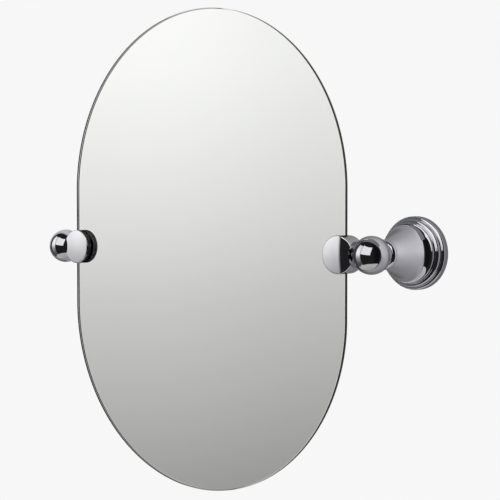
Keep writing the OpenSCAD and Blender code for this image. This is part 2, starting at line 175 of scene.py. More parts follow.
class ClampSettings(bpy.types.PropertyGroup):
    """Ball and clamp."""
    round_edge: length("Edge", "Rounding of the clamp's front and rear edges", 1.1 * MM)
    crown: length("Crown", "Extra height of the cap's domed face", 0.7 * MM)
    seam: length("Seam", "Bevel of the seam between cap and body", 0.12 * MM)
    dish_gap: length("Dish gap", "Free gap between ball and dish", 3.2 * MM)
    boss: length("Boss", "Radius of the boss that carries the pin", 7.5 * MM)
    boss_round: length("Boss edge", "Rounding of the boss's edge", 0.5 * MM)
    boss_start: length("Boss start", "How far outside the slot the boss starts", 0.2 * MM)
    collar: length("Collar", "Radius of the turned collar on the ball", 11 * MM)
    collar_round: length("Collar edge", "Rounding of the collar's edge", 0.5 * MM)
    pin_hole: length("Pin hole", "Radius of the ball's bore for the pin", 3.55 * MM)
    pin_depth: length("Pin hole depth", "How far the bore runs past the ball's centre", 8.3 * MM)
    screw_hole: length("Screw hole", "Radius of the clamp's screw holes", 1.55 * MM)
    screw_sink: length("Screw sink", "Radius of the counterbores for the screw heads", 2.825 * MM)
    screw_pitch: length("Screw pitch", "Distance between the two clamp screws", 21 * MM)
    head_height: length("Head height", "Height of the screw heads", 2.4 * MM)
    head_sink: length("Head sink", "How deep the screw heads lie in the clamp's back", 0.5 * MM)
    steps: IntProperty(name="Steps", description="Steps round the clamp and ball",
                       default=192, min=32, max=512)


class FinishSettings(bpy.types.PropertyGroup):
    """Colours and finishes."""
    chrome: colour("Chrome", "Tint of the polished chrome", (0.80, 0.80, 0.83))
    chrome_dull: colour("Chrome, dull", "Tint where the plating is a little milky", (0.72, 0.72, 0.76))
    # painted shade: the balls get a darker copy of the chrome, which darkens their reflections
    ball_painted_shade: share("Ball painted shade", "Share of the chrome's tint that the turned balls keep", 0.88)
    glass: colour("Glass", "Tint of the float glass", (0.985, 0.99, 0.986))
    glass_edge: colour("Glass edge", "Tint of the polished edge", (0.014, 0.015, 0.011))
    silver: colour("Silver", "Tint of the silvering", (0.93, 0.93, 0.925))
    paint: colour("Paint", "Backing paint", (0.20, 0.21, 0.22))
    zinc: colour("Zinc", "Die-cast wall plate", (0.42, 0.43, 0.45))
    steel: colour("Steel", "Screws and pins", (0.55, 0.54, 0.52))
    nylon: colour("Nylon", "Washers and brake plugs", (0.80, 0.79, 0.74))
    pad: colour("Pad", "Soft pads at the glass", (0.70, 0.72, 0.71))


class StageSettings(bpy.types.PropertyGroup):
    """Camera, light and floor."""
    camera: FloatVectorProperty(name="Camera", description="Place of the camera",
                                default=(1.01466, -1.19358, 0.05458), size=3, unit="LENGTH")
    turn: FloatProperty(name="Turn", description="Heading of the camera",
                        default=math.radians(40.470), unit="ROTATION")
    pitch: FloatProperty(name="Pitch", description="Tilt of the camera from straight down",
                         default=math.radians(87.930), unit="ROTATION")
    lens: FloatProperty(name="Lens", description="Focal length in millimetres", default=104.27, min=10)
    floor_z: FloatProperty(name="Floor", description="Height of the floor", default=-1.35, unit="LENGTH")
    floor_radius: length("Floor radius", "How far the floor reaches", 3.0, high=50.0)
    floor: colour("Floor", "Colour of the floor", (0.86, 0.86, 0.85))
    backdrop: colour("Backdrop", "Plain colour behind the object", (0.93, 0.93, 0.93))


class MirrorSettings(bpy.types.PropertyGroup):
    """All that can be changed on the mirror."""
    pane: PointerProperty(type=PaneSettings)
    flange: PointerProperty(type=FlangeSettings)
    clamp: PointerProperty(type=ClampSettings)
    finish: PointerProperty(type=FinishSettings)
    stage: PointerProperty(type=StageSettings)


# ------------------------------------------------------------------- outlines

def arc(x, y, radius, start, end, steps=12):
    """Points of an arc about (x, y), angles in degrees."""
    angles = [math.radians(start + (end - start) * i / steps) for i in range(steps + 1)]
    return [(x + radius * math.cos(a), y + radius * math.sin(a)) for a in angles]


def curve(p, q, r, s, steps):
    """Points of a cubic curve with end points p and s and handles q and r."""
    points = []
    for i in range(steps + 1):
        t = i / steps
        u = 1 - t
        parts = (u ** 3, 3 * u * u * t, 3 * u * t * t, t ** 3)
        points.append(tuple(sum(k * c[n] for k, c in zip(parts, (p, q, r, s))) for n in (0, 1)))
    return points


def held(outline, closed, gap=0.12 * MM):
    """The outline with a point close to each end of its long straight runs, to keep them flat."""
    count = len(outline)
    points = []
    for i, here in enumerate(outline):
        points.append(here)
        if i == count - 1 and not closed:
            break
        there = outline[(i + 1) % count]
        run = math.dist(here, there)
        if run > 8 * gap:
            for near in (gap / run, 1 - gap / run):
                points.append(tuple(a + near * (b - a) for a, b in zip(here, there)))
    return points


# ---------------------------------------------------------- modelling by hand

def pick(*objects):
    """Leave only these objects selected, the first of them active, in object mode."""
    if bpy.context.mode != "OBJECT":
        bpy.ops.object.mode_set(mode="OBJECT")
    bpy.ops.object.select_all(action="DESELECT")
    for obj in objects:
        obj.select_set(True)
    if objects:
        bpy.context.view_layer.objects.active = objects[0]


def edit(obj):
    """Open one object in edit mode with all of it selected."""
    pick(obj)
    bpy.ops.object.mode_set(mode="EDIT")
    bpy.ops.mesh.select_mode(type="VERT")
    bpy.ops.mesh.select_all(action="SELECT")


def select_faces(obj, wanted):
    """In edit mode, select the faces for which wanted(face) is true."""
    bpy.ops.mesh.select_mode(type="FACE")
    bpy.ops.mesh.select_all(action="DESELECT")
    mesh = bmesh.from_edit_mesh(obj.data)
    for face in mesh.faces:
        face.select_set(wanted(face))
    bmesh.update_edit_mesh(obj.data)


def select_verts(obj, wanted):
    """In edit mode, select the corners for which wanted(vert) is true."""
    bpy.ops.mesh.select_mode(type="VERT")
    bpy.ops.mesh.select_all(action="DESELECT")
    mesh = bmesh.from_edit_mesh(obj.data)
    mesh.verts.ensure_lookup_table()
    for vert in mesh.verts:
        if wanted(vert):
            vert.select_set(True)
    mesh.select_flush(True)
    bmesh.update_edit_mesh(obj.data)


def placed(name):
    """Name the newest primitive and put its place into its mesh."""
    obj = bpy.context.object
    obj.name = obj.data.name = name
    bpy.ops.object.transform_apply(location=True, rotation=True, scale=True)
    return obj


def smooth(obj, angle=32):
    """Shade smooth across edges flatter than the angle."""
    pick(obj)
    bpy.ops.object.shade_smooth_by_angle(angle=math.radians(angle))


def close_up(obj):
    """Weld doubled corners and point the faces outwards."""
    edit(obj)
    bpy.ops.mesh.remove_doubles(threshold=WELD)
    bpy.ops.mesh.select_all(action="SELECT")
    bpy.ops.mesh.normals_make_consistent(inside=False)
    bpy.ops.object.mode_set(mode="OBJECT")


def turned(name, outline, place, centre, axis, steps, closed=False):
    """Turn an outline of (radius, height) points about an axis, as on a lathe.

    An open outline starts and ends on the axis, a closed one runs round beside it.
    """
    points = [Vector(place(r, h)) for r, h in held(outline, closed)]
    pick()
    bpy.ops.mesh.primitive_plane_add(size=MM, location=points[0])
    obj = placed(name)
    edit(obj)
    bpy.ops.mesh.merge(type="CENTER")
    for here, there in zip(points, points[1:]):
        bpy.ops.mesh.extrude_vertices_move(TRANSFORM_OT_translate={"value": there - here})
    if closed:
        last = len(points) - 1
        select_verts(obj, lambda vert: vert.index in (0, last))
        bpy.ops.mesh.edge_face_add()
    bpy.ops.mesh.select_all(action="SELECT")
    bpy.ops.mesh.spin(steps=steps, angle=TURN, center=centre, axis=axis)
    close_up(obj)
    return obj


def off_wall(name, outline, steps):
    """A turned hollow piece on the bracket's centre line: heights are distances from the wall."""
    return turned(name, outline, lambda r, h: (BRACKET_X + r, -h, 0),
                  (BRACKET_X, 0, 0), (0, 1, 0), steps, closed=True)


def on_pivot(name, outline, steps):
    """A turned piece on the tilt axis: heights are places along X."""
    return turned(name, outline, lambda r, h: (h, PIVOT_Y, r), (0, PIVOT_Y, 0), (1, 0, 0), steps)


def on_clamp(name, outline, steps, x=CLAMP_X, z=0.0):
    """A turned piece on the clamp's centre line or beside it: heights are places along Y."""
    return turned(name, outline, lambda r, h: (x + r, h, z), (x, 0, z), (0, 1, 0), steps)


def block(name, lo, hi):
    """A plain block between two corners, used only as a cutter."""
    lo, hi = Vector(lo), Vector(hi)
    pick()
    bpy.ops.mesh.primitive_cube_add(size=1, location=(lo + hi) / 2, scale=hi - lo)
    return placed(name)


def combine(obj, tool, operation="DIFFERENCE"):
    """Cut a tool out of an object or join it on, and throw the tool away."""
    pick(obj)
    bpy.ops.object.modifier_add(type="BOOLEAN")
    change = obj.modifiers[-1]
    change.operation = operation
    change.solver = "MANIFOLD"
    change.object = tool
    bpy.ops.object.modifier_apply(modifier=change.name)
    pick(tool)
    bpy.ops.object.delete()


def mirrored(obj, name):
    """A copy of a piece on the other side of the pane."""
    pick(obj)
    bpy.ops.object.duplicate()
    twin = bpy.context.object
    twin.name = twin.data.name = name
    bpy.ops.transform.resize(value=(-1, 1, 1), center_override=(0, 0, 0))
    bpy.ops.object.transform_apply(location=True, rotation=True, scale=True)
    edit(twin)
    bpy.ops.mesh.normals_make_consistent(inside=False)
    bpy.ops.object.mode_set(mode="OBJECT")
    return twin


def finish_pair(obj, piece, node, body, slot, *materials):
    """Smooth and dress a right-hand piece, mirror it, hang both on their body and hide the frame nodes that they
    take the place of.
    """
    dress(obj, *materials)
    smooth(obj)
    for side, each in (("right", obj), ("left", mirrored(obj, f"{piece}_left"))):
        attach(each, body)
        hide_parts(f"{side}_{node}")


def dress(obj, *materials):
    """Give an object its materials, one for each slot."""
    obj.data.materials.clear()
    for material in materials:
        obj.data.materials.append(material)


# ------------------------------------------------------------------ materials

class Nodes:
    """A node tree with short calls for the nodes used here."""

    def __init__(self, tree):
        self.tree = tree

    def add(self, kind, inputs=(), **values):
        """A new node with its settings and inputs."""
        node = self.tree.nodes.new(f"ShaderNode{kind}")
        for name, value in values.items():
            setattr(node, name, value)
        for name, value in dict(inputs).items():
            self.put(node.inputs[name], value)
        return node

    def put(self, socket, value):
        """Link an output to a socket, or set its value."""
        if isinstance(value, bpy.types.NodeSocket):
            self.tree.links.new(value, socket)
        elif isinstance(value, (tuple, list)) and len(value) == 3 and socket.type == "RGBA":
            socket.default_value = (*value, 1.0)
        else:
            socket.default_value = value

    def math(self, operation, *values):
        """One arithmetic step."""
        node = self.add("Math", operation=operation)
        for socket, value in zip(node.inputs, values):
            self.put(socket, value)
        return node.outputs[0]

    def product(self, first, *others):
        """Several values multiplied."""
        for value in others:
            first = self.math("MULTIPLY", first, value)
        return first

    def distance(self, across, along):
        """The long side over two sides at a right angle."""
        return self.math("SQRT", self.math("ADD", self.math("POWER", across, 2.0),
                                           self.math("POWER", along, 2.0)))

    def scaled(self, vector, factor):
        """A vector or colour times one number."""
        return self.add("VectorMath", {0: vector, "Scale": factor}, operation="SCALE").outputs[0]

    def ramp(self, value, low, high, to_low=0.0, to_high=1.0, smooth_ends=False):
        """A value carried from one range to another, held at the ends."""
        node = self.add("MapRange", {"Value": value, "From Min": low, "From Max": high,
                                     "To Min": to_low, "To Max": to_high},
                        interpolation_type="SMOOTHSTEP" if smooth_ends else "LINEAR", clamp=True)
        return node.outputs["Result"]

    def mix(self, factor, first, second):
        """Two colours mixed."""
        node = self.add("Mix", data_type="RGBA")
        for index, value in ((0, factor), (6, first), (7, second)):
            self.put(node.inputs[index], value)
        return node.outputs[2]

    def noise(self, scale, detail, stretch=(1, 1, 1)):
        """Noise on the object's own coordinates, in features per metre."""
        place = self.add("TexCoord").outputs["Object"]
        mapping = self.add("Mapping", {"Vector": place, "Scale": stretch})
        node = self.add("TexNoise", {"Vector": mapping.outputs[0], "Scale": scale, "Detail": detail})
        return node.outputs["Fac"]

    def bump(self, height, strength, distance):
        """A bump from a height."""
        node = self.add("Bump", {"Height": height, "Strength": strength, "Distance": distance})
        return node.outputs["Normal"]


def material(name, **sockets):
    """A new material with constants set on its Principled shader."""
    mat = bpy.data.materials.new(name)
    mat.use_nodes = True
    shader = mat.node_tree.nodes["Principled BSDF"]
    nodes = Nodes(mat.node_tree)
    for key, value in sockets.items():
        nodes.put(shader.inputs[key.replace("_", " ")], value)
    return mat, nodes, shader.inputs


def tones(tint, factor):
    """A colour and the same made lighter or darker, as plain tuples."""
    return tuple(tint), tuple(min(1.0, factor * part) for part in tint)


def skin(nodes, inputs, base, grain, rough, bump):
    """Set a colour, and a roughness and a bump that follow one noise."""
    nodes.put(inputs["Base Color"], base)
    nodes.put(inputs["Roughness"], nodes.ramp(grain, 0.3, 0.7, *rough))
    nodes.put(inputs["Normal"], nodes.bump(grain, *bump))


def plated(name, bright, dull):
    """Polished chrome: a faint milkiness, fine wipe marks and the orange peel of the plating."""
    mat, nodes, inputs = material(name, Metallic=1.0)
    cloud = nodes.noise(38, 4)
    wipe = nodes.noise(420, 2, stretch=(1, 1, 0.12))
    nodes.put(inputs["Base Color"], nodes.mix(nodes.ramp(cloud, 0.42, 0.75), bright, dull))
    haze = nodes.math("ADD", nodes.ramp(cloud, 0.4, 0.8, 0.018, 0.04),
                      nodes.ramp(wipe, 0.5, 0.8, 0.0, 0.018))
    nodes.put(inputs["Roughness"], haze)
    nodes.put(inputs["Normal"], nodes.bump(nodes.noise(260, 2), 0.06, 0.02 * MM))
    return mat


def make_chrome(finish):
    """Polished chrome of the castings."""
    return plated("polished_chrome", tuple(finish.chrome), tuple(finish.chrome_dull))


def make_shaded_ball_chrome(finish):
    """The same plating a little deeper in tone for the balls: a shaded copy of the chrome, painted shade that
    darkens their reflections.
    """
    bright, dull = (tones(tint, finish.ball_painted_shade)[1] for tint in (finish.chrome, finish.chrome_dull))
    return plated("shaded_ball_chrome", bright, dull)


def make_glass(finish):
    """Clear float glass with the slight green of its iron."""
    mat, nodes, inputs = material("float_glass", Transmission_Weight=1.0, IOR=1.52, Roughness=0.0,
                                   Specular_Tint=(0.1, 0.1, 0.1))
    nodes.put(inputs["Base Color"], nodes.mix(nodes.noise(6, 2), *tones(finish.glass, 0.995)))
    nodes.put(inputs["Normal"], nodes.bump(nodes.noise(9, 1), 0.02, 0.01 * MM))
    return mat


def make_glass_edge(finish):
    """Polished edge of the pane, darker green, with fine grinding lines along it."""
    mat, nodes, inputs = material("polished_glass_edge", IOR=1.52)
    grind = nodes.noise(900, 2, stretch=(0.05, 1, 0.05))
    nodes.put(inputs["Base Color"], nodes.mix(nodes.ramp(grind, 0.35, 0.7), *tones(finish.glass_edge, 1.5)))
    nodes.put(inputs["Roughness"], nodes.ramp(grind, 0.3, 0.8, 0.10, 0.24))
    nodes.put(inputs["Normal"], nodes.bump(grind, 0.15, 0.02 * MM))
    return mat


def make_silver(finish):
    """Silvering, seen through the glass."""
    mat, nodes, inputs = material("silvering", Metallic=1.0)
    cloud = nodes.noise(5, 3)
    nodes.put(inputs["Base Color"], nodes.mix(cloud, *tones(finish.silver, 0.985)))
    nodes.put(inputs["Roughness"], nodes.ramp(cloud, 0.3, 0.8, 0.0, 0.004))
    return mat


def make_paint(finish):
    """Grey backing paint, curtain-coated, with a slight orange peel."""
    mat, nodes, inputs = material("backing_paint", IOR=1.5)
    cloud = nodes.noise(14, 4)
    fine = nodes.noise(900, 3)
    base = nodes.mix(nodes.ramp(cloud, 0.3, 0.7), *tones(finish.paint, 1.25))
    skin(nodes, inputs, base, fine, (0.42, 0.55), (0.25, 0.05 * MM))
    return mat


def make_zinc(finish):
    """Die-cast zinc with a tumbled skin."""
    mat, nodes, inputs = material("cast_zinc", Metallic=1.0)
    cloud = nodes.noise(70, 5)
    grain = nodes.noise(2200, 3)
    base = nodes.mix(nodes.ramp(cloud, 0.3, 0.7), *tones(finish.zinc, 1.35))
    skin(nodes, inputs, base, grain, (0.36, 0.52), (0.35, 0.06 * MM))
    return mat


def make_steel(finish):
    """Turned steel with fine lines from the tool."""
    mat, nodes, inputs = material("turned_steel", Metallic=1.0)
    lines = nodes.noise(1500, 2, stretch=(0.1, 1, 0.1))
    base = nodes.mix(nodes.ramp(lines, 0.3, 0.7), *tones(finish.steel, 1.3))
    skin(nodes, inputs, base, lines, (0.22, 0.38), (0.2, 0.03 * MM))
    return mat


def make_nylon(finish):
    """Natural nylon."""
    mat, nodes, inputs = material("natural_nylon", IOR=1.53, Subsurface_Weight=0.25, Subsurface_Scale=2 * MM)
    cloud = nodes.noise(300, 3)
    base = nodes.mix(cloud, *tones(finish.nylon, 0.9))
    skin(nodes, inputs, base, cloud, (0.38, 0.5), (0.2, 0.03 * MM))
    return mat


def make_pad(finish):
    """Soft clear plastic pad."""
    mat, nodes, inputs = material("soft_pad", Transmission_Weight=0.4, IOR=1.49)
    cloud = nodes.noise(500, 3)
    base = nodes.mix(cloud, *tones(finish.pad, 0.85))
    skin(nodes, inputs, base, cloud, (0.3, 0.45), (0.2, 0.03 * MM))
    return mat


MAKERS = {
    "chrome": make_chrome,
    "ball": make_shaded_ball_chrome,
    "glass": make_glass,
    "edge": make_glass_edge,
    "silver": make_silver,
    "paint": make_paint,
    "zinc": make_zinc,
    "steel": make_steel,
    "nylon": make_nylon,
    "pad": make_pad,
}
SLOT_FINISH = {
    "pane_glass": "glass",
    "silvering": "silver",
    "chrome": "chrome",
    "zinc": "zinc",
    "steel": "steel",
    "nylon": "nylon",
    "soft_pad": "pad",
}
MADE = {}


def finish_of(context, name):
    """A finish by its name, made once."""
    if name not in MADE:
        MADE[name] = MAKERS[name](context.scene.wall_mirror.finish)
    return MADE[name]


# --------------------------------------------------------------------- pieces

def oblong(name, corner, front, back, edge, size):
    """A sheet with straight sides and round ends, as wide and high as its corner, its rims bevelled."""
    pick()
    bpy.ops.mesh.primitive_circle_add(vertices=size.round_steps, radius=corner.x, fill_type="NGON",
                                      location=(0, front, 0), rotation=(math.pi / 2, 0, 0))
    obj = placed(name)
    edit(obj)
    for side in (1, -1):
        select_verts(obj, lambda vert: vert.co.z * side > WELD)
        bpy.ops.transform.translate(value=(0, 0, side * (corner.z - corner.x)))
    bpy.ops.mesh.select_all(action="SELECT")
    bpy.ops.mesh.extrude_region_move(TRANSFORM_OT_translate={"value": (0, back - front, 0)})
    bpy.ops.mesh.select_all(action="SELECT")
    bpy.ops.mesh.normals_make_consistent(inside=False)
    select_faces(obj, lambda face: abs(face.normal.y) > 0.9)
    bpy.ops.mesh.region_to_loop()
    bpy.ops.mesh.bevel(offset=edge, offset_type="OFFSET", segments=2, affect="EDGES")
    select_faces(obj, lambda face: abs(face.normal.y) > 0.999)
    bpy.ops.mesh.inset(thickness=size.flat_inset)
    bpy.ops.object.mode_set(mode="OBJECT")
    return obj


class MIRROR_OT_pane(bpy.types.Operator):
    """Pane of float glass with a bevelled, polished edge"""
    bl_idname = "wall_mirror.pane"
    bl_label = "Pane"

    def execute(self, context):
        size = context.scene.wall_mirror.pane
        pane = oblong("pane", PANE_HI, PANE_LO.y, FILM_LO.y - size.optical_gap, size.arris, size)
        dress(pane, finish_of(context, "glass"), finish_of(context, "edge"))
        for face in pane.data.polygons:
            face.material_index = 0 if abs(face.normal.y) > 0.1 else 1
        smooth(pane, 40)
        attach(pane, "mirror")
        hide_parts("mirror_glass")
        return {"FINISHED"}


class MIRROR_OT_silvering(bpy.types.Operator):
    """Silvering behind the pane with its grey backing paint"""
    bl_idname = "wall_mirror.silvering"
    bl_label = "Silvering"

    def execute(self, context):
        size = context.scene.wall_mirror.pane
        layer = oblong("silver_layer", FILM_HI, FILM_LO.y, FILM_HI.y, size.film_round, size)
        dress(layer, finish_of(context, "silver"), finish_of(context, "paint"))
        for face in layer.data.polygons:
            face.material_index = 0 if face.normal.y < -0.9 else 1
        smooth(layer, 40)
        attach(layer, "mirror")
        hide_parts("silver_film")
        return {"FINISHED"}


def bell_line(size, start, end, inset, steps):
    """The bell's curve from the rings to the neck, without its first point."""
    inner = RIM_RADIUS - size.step_outer - size.step_middle
    corner = (inner - size.round_inner - size.bell_in - inset, size.ring_inner + size.bell_up)
    handle = tuple(c + (1 - size.bell_pull) * (e - c) for c, e in zip(corner, end))
    return curve(start, corner, handle, end, steps)[1:]


def shoulder(radius, height, bend, corner, inner):
    """An ovolo shoulder at the top of a ring and the fillet against the next ring's wall."""
    return (arc(radius - bend, height - bend, bend, 0, 90, 10)
            + arc(inner + corner, height + corner, corner, -90, -180, 3))


def flange_outline(size):
    """The flange's whole section: rings and bell outside, plate recess and cone inside."""
    middle = RIM_RADIUS - size.step_outer
    inner = middle - size.step_middle
    plate = PLATE_HI.z + FIT_GAP
    recess = FIT_GAP - PLATE_LO.y
    floor = BELL_END - size.end
    hollow = size.neck - size.wall
    bevel = size.recess_edge
    start = (inner - size.round_inner, size.ring_inner)
    cone_start = (inner - size.wall, size.ring_middle)
    outside = ([(RIM_RADIUS - size.rim_edge, 0.0), (RIM_RADIUS, size.rim_edge)]
               + shoulder(RIM_RADIUS, size.ring_outer, size.round_outer, size.corner, middle)
               + shoulder(middle, size.ring_middle, size.round_middle, size.corner, inner)
               + arc(inner - size.round_inner, size.ring_inner - size.round_inner, size.round_inner, 0, 90, 8)
               + bell_line(size, start, (size.neck, BELL_END - size.end_edge), 0.0, 32)
               + [(size.neck - size.end_edge, BELL_END)])
    inside = ([(size.screw_hole, BELL_END), (size.screw_hole, floor), (hollow, floor)]
              + bell_line(size, cone_start, (hollow, floor), size.wall, 12)[::-1][1:]
              + [cone_start, (plate, recess), (plate, bevel), (plate + bevel, 0.0)])
    return outside + inside


class MIRROR_OT_flanges(bpy.types.Operator):
    """Bell-shaped wall flanges with three stepped rings"""
    bl_idname = "wall_mirror.flanges"
    bl_label = "Flanges"

    def execute(self, context):
        size = context.scene.wall_mirror.flange
        flange = off_wall("flange_right", flange_outline(size), size.steps)
        hole = SET_SCREW_RADIUS + THREAD_GAP
        wide = hole + size.sink
        low = PLATE_HI.z - PAST
        top = RIM_RADIUS + PAST
        countersink = [(0, low), (hole, low), (hole, RIM_RADIUS - size.sink_deep),
                       (wide, RIM_RADIUS), (wide, top), (0, top)]
        cutter = turned("cutter", countersink, lambda r, h: (BRACKET_X + r, -SET_SCREW_HEIGHT, h),
                        (BRACKET_X, -SET_SCREW_HEIGHT, 0), (0, 0, 1), HOLE_STEPS)
        combine(flange, cutter)
        finish_pair(flange, "flange", "flange", "brackets", "chrome", finish_of(context, "chrome"))
        return {"FINISHED"}


class MIRROR_OT_necks(bpy.types.Operator):
    """Beads and spigots between bells and balls"""
    bl_idname = "wall_mirror.necks"
    bl_label = "Necks"

    def execute(self, context):
        size = context.scene.wall_mirror.flange
        radius = COLLAR_HI.x - BRACKET_X
        back = size.bead_back
        nose = min(size.bead_front, radius - size.spigot - size.bead_step)
        seat = BALL_RADIUS + SEAT_GAP
        span = size.spigot - size.screw_hole

        def cup(r):
            """The point of the cup round the ball at this radius."""
            return (r, -PIVOT_Y - math.sqrt(seat ** 2 - r ** 2))

        outline = ([(size.screw_hole, BELL_END)]
                   + arc(radius - back, BELL_END + back, back, -90, 0)
                   + arc(radius - nose, BELL_END + back, nose, 0, 90, 18)[1:]
                   + [(size.spigot, BELL_END + back + nose)]
                   + [cup(size.spigot - span * i / 12) for i in range(13)])
        neck = off_wall("neck_right", outline, size.steps)
        finish_pair(neck, "neck", "neck_collar", "brackets", "chrome", finish_of(context, "chrome"))
        return {"FINISHED"}


class MIRROR_OT_balls(bpy.types.Operator):
    """Balls with a turned face and collar towards the clamp"""
    bl_idname = "wall_mirror.balls"
    bl_label = "Balls"

    def execute(self, context):
        size = context.scene.wall_mirror.clamp
        opening = math.degrees(math.asin(size.collar / BALL_RADIUS))
        sphere = [(r, BRACKET_X + h) for h, r in arc(0, 0, BALL_RADIUS, 0, 180 - opening, 96)]
        bend = size.collar_round
        collar = [(r, PIVOT_FACE_X + bend - h) for h, r in arc(0, size.collar - bend, bend, 90, 0, 6)]
        bottom = BRACKET_X + size.pin_depth
        outline = sphere + collar + [(size.pin_hole, PIVOT_FACE_X), (size.pin_hole, bottom), (0, bottom)]
        ball = on_pivot("ball_right", outline, size.steps)
        # the balls wear the shaded copy of the chrome: painted shade
        finish_pair(ball, "ball", "ball", "brackets", "chrome", finish_of(context, "ball"))
        return {"FINISHED"}


def cut_dish(obj, size):
    """Cut the round space that the ball swings in."""
    points = arc(0, 0, BALL_RADIUS + size.dish_gap, 0, 180, size.steps // 2)
    combine(obj, on_pivot("dish", [(r, BRACKET_X + h) for h, r in points], size.steps))


def cut_screw_holes(obj, size, outline):
    """Cut a turned hole round the line of each clamp screw."""
    for z in (size.screw_pitch / 2, -size.screw_pitch / 2):
        combine(obj, on_clamp("hole", outline, HOLE_STEPS, SCREWS_X, z))


class MIRROR_OT_clamp_bodies(bpy.types.Operator):
    """Rear halves of the clamps, with slot, dish and pin boss"""
    bl_idname = "wall_mirror.clamp_bodies"
    bl_label = "Clamp bodies"

    def execute(self, context):
        size = context.scene.wall_mirror.clamp
        back = SCREWS_HI.y + size.head_sink
        edge = size.round_edge
        seam = size.seam
        disc = ([(0, SPLIT_Y), (CLAMP_RADIUS - seam, SPLIT_Y), (CLAMP_RADIUS, SPLIT_Y + seam)]
                + arc(CLAMP_RADIUS - edge, back - edge, edge, 0, 90, 10)
                + [(0, back)])
        body = on_clamp("clamp_body_right", disc, size.steps)
        clear = 50 * MM     # well past the disc's edge
        combine(body, block("slot", (CLAMP_X - clear, SPLIT_Y - 10 * PAST, -clear),
                            (SLOT_X, BODY_FRONT_Y, clear)))
        cut_dish(body, size)
        bend = size.boss_round
        start = SLOT_X + size.boss_start
        boss = ([(0, start), (size.boss, start)]
                + [(r, BOSS_END_X - bend + h) for h, r in arc(0, size.boss - bend, bend, 90, 0, 6)]
                + [(0, BOSS_END_X)])
        combine(body, on_pivot("boss", boss, size.steps), "UNION")
        front = SPLIT_Y - PAST
        seat = SCREWS_HI.y - size.head_height
        behind = back + 2 * PAST
        cut_screw_holes(body, size, [(0, front), (size.screw_hole, front), (size.screw_hole, seat),
                                     (size.screw_sink, seat), (size.screw_sink, behind), (0, behind)])
        finish_pair(body, "clamp_body", "clamp_body", "mirror", "chrome", finish_of(context, "chrome"))
        return {"FINISHED"}


class MIRROR_OT_clamp_caps(bpy.types.Operator):
    """Front halves of the clamps: slightly domed buttons"""
    bl_idname = "wall_mirror.clamp_caps"
    bl_label = "Clamp caps"

    def execute(self, context):
        size = context.scene.wall_mirror.clamp
        edge = size.round_edge
        seam = size.seam
        face = CLAMP_RADIUS - edge
        rim = CAP_LO.y + size.crown
        dome = (face ** 2 + size.crown ** 2) / (2 * size.crown)
        half = math.degrees(math.asin(face / dome))
        outline = ([(0, SPLIT_Y), (CLAMP_RADIUS - seam, SPLIT_Y), (CLAMP_RADIUS, SPLIT_Y - seam)]
                   + arc(face, rim + edge, edge, 0, -90 + half, 10)
                   + arc(0, CAP_LO.y + dome, dome, -90 + half, -90, 24)[1:])
        cap = on_clamp("clamp_cap_right", outline, size.steps)
        cut_dish(cap, size)
        bottom = SCREWS_LO.y - FIT_GAP
        behind = SPLIT_Y + PAST
        cut_screw_holes(cap, size, [(0, bottom), (size.screw_hole, bottom), (size.screw_hole, behind),
                                    (0, behind)])
        finish_pair(cap, "clamp_cap", "clamp_cap", "mirror", "chrome", finish_of(context, "chrome"))
        return {"FINISHED"}


class MIRROR_OT_hardware(bpy.types.Operator):
    """Finishes of the pieces that keep their frame shape"""
    bl_idname = "wall_mirror.hardware"
    bl_label = "Hardware"

    def execute(self, context):
        slots = {part["node"]: part["material_slot"] for part in frame["record"]["subparts"]}
        for node, obj in frame["nodes"].items():
            for slot in obj.material_slots:
                slot.material = finish_of(context, SLOT_FINISH[slots[node]])
        return {"FINISHED"}


# ---------------------------------------------------------------------- stage

# Headings and heights are in degrees: heading 0 is straight out of the wall, negative
# towards -X, and height 0 is level. The board's tones are pairs of height and tone.
BOARD_TONES = (
    (-45, 0.10), (-34, 0.10), (-20, 0.28), (-11, 0.425), (-9.4, 0.495), (-7.2, 0.587),
    (-4.1, 0.715), (-0.9, 0.893), (2.3, 1.04), (5, 1.143), (7, 1.175), (12, 1.22),
    (24, 1.20), (33, 1.05), (41, 0.98), (48, 0.90),
)
BOARD_BLUE = 0.985
BOARD_SIDES = (-68, -35.5)
BOARD_FOOT = -45
SCREEN_LEFT = -83
SCREEN = (0.09, 0.09, 0.092)
SOFTBOX_LEFT = -33
SOFTBOX_HEIGHT = 46
SOFTBOX = (1.10, 1.10, 1.095)
BLACK = (0.007, 0.007, 0.008)
SHADE = (0.016, 0.016, 0.017)
CEILING = (0.24, 0.24, 0.25)
TABLE = (0.57, 0.556, 0.548)
TABLE_BELOW = (0.4674, 0.45592, 0.44936)
# painted reflection in the pane: share of the board's tones, and the least tone it shows
PANE_REFLECTION_SHARE = 0.937
PANE_REFLECTION_LEAST = (0.33, 0.33, 0.325)
WALL = (0.40, 0.396, 0.412)
CARD_PLACE = (0.275, -0.05, 0.25)
CARD_SIZE = (0.33, 0.10)


def over(nodes, value, place, soft, smooth_ends=False):
    """1 where the value lies over a place and 0 where it lies under it, with a soft change."""
    return nodes.ramp(value, place - soft, place + soft, smooth_ends=smooth_ends)


def band(nodes, value, low, high, soft):
    """1 where the value lies between low and high, with soft ends."""
    fall = nodes.ramp(value, high - soft, high + soft, 1.0, 0.0, smooth_ends=True)
    return nodes.product(over(nodes, value, low, soft, True), fall)


def axes(nodes, output):
    """The X, Y and Z of a texture coordinate."""
    return nodes.add("SeparateXYZ", {"Vector": nodes.add("TexCoord").outputs[output]}).outputs


def board_tone(nodes, heading, height):
    """The board's colour: it changes with height and falls off towards the softbox."""
    low, high = BOARD_TONES[0][0], BOARD_TONES[-1][0]
    fade = nodes.add("ValToRGB", {"Fac": nodes.ramp(height, low, high)})
    ramp = fade.color_ramp
    while len(ramp.elements) < len(BOARD_TONES):
        ramp.elements.new(0.5)
    for element, (place, tone) in zip(ramp.elements, BOARD_TONES):
        element.position = (place - low) / (high - low)
        element.color = (tone, tone, BOARD_BLUE * tone, 1)
    falloff = nodes.ramp(heading, -45, -36, 1.0, 0.87, smooth_ends=True)
    return nodes.scaled(fade.outputs["Color"], falloff)


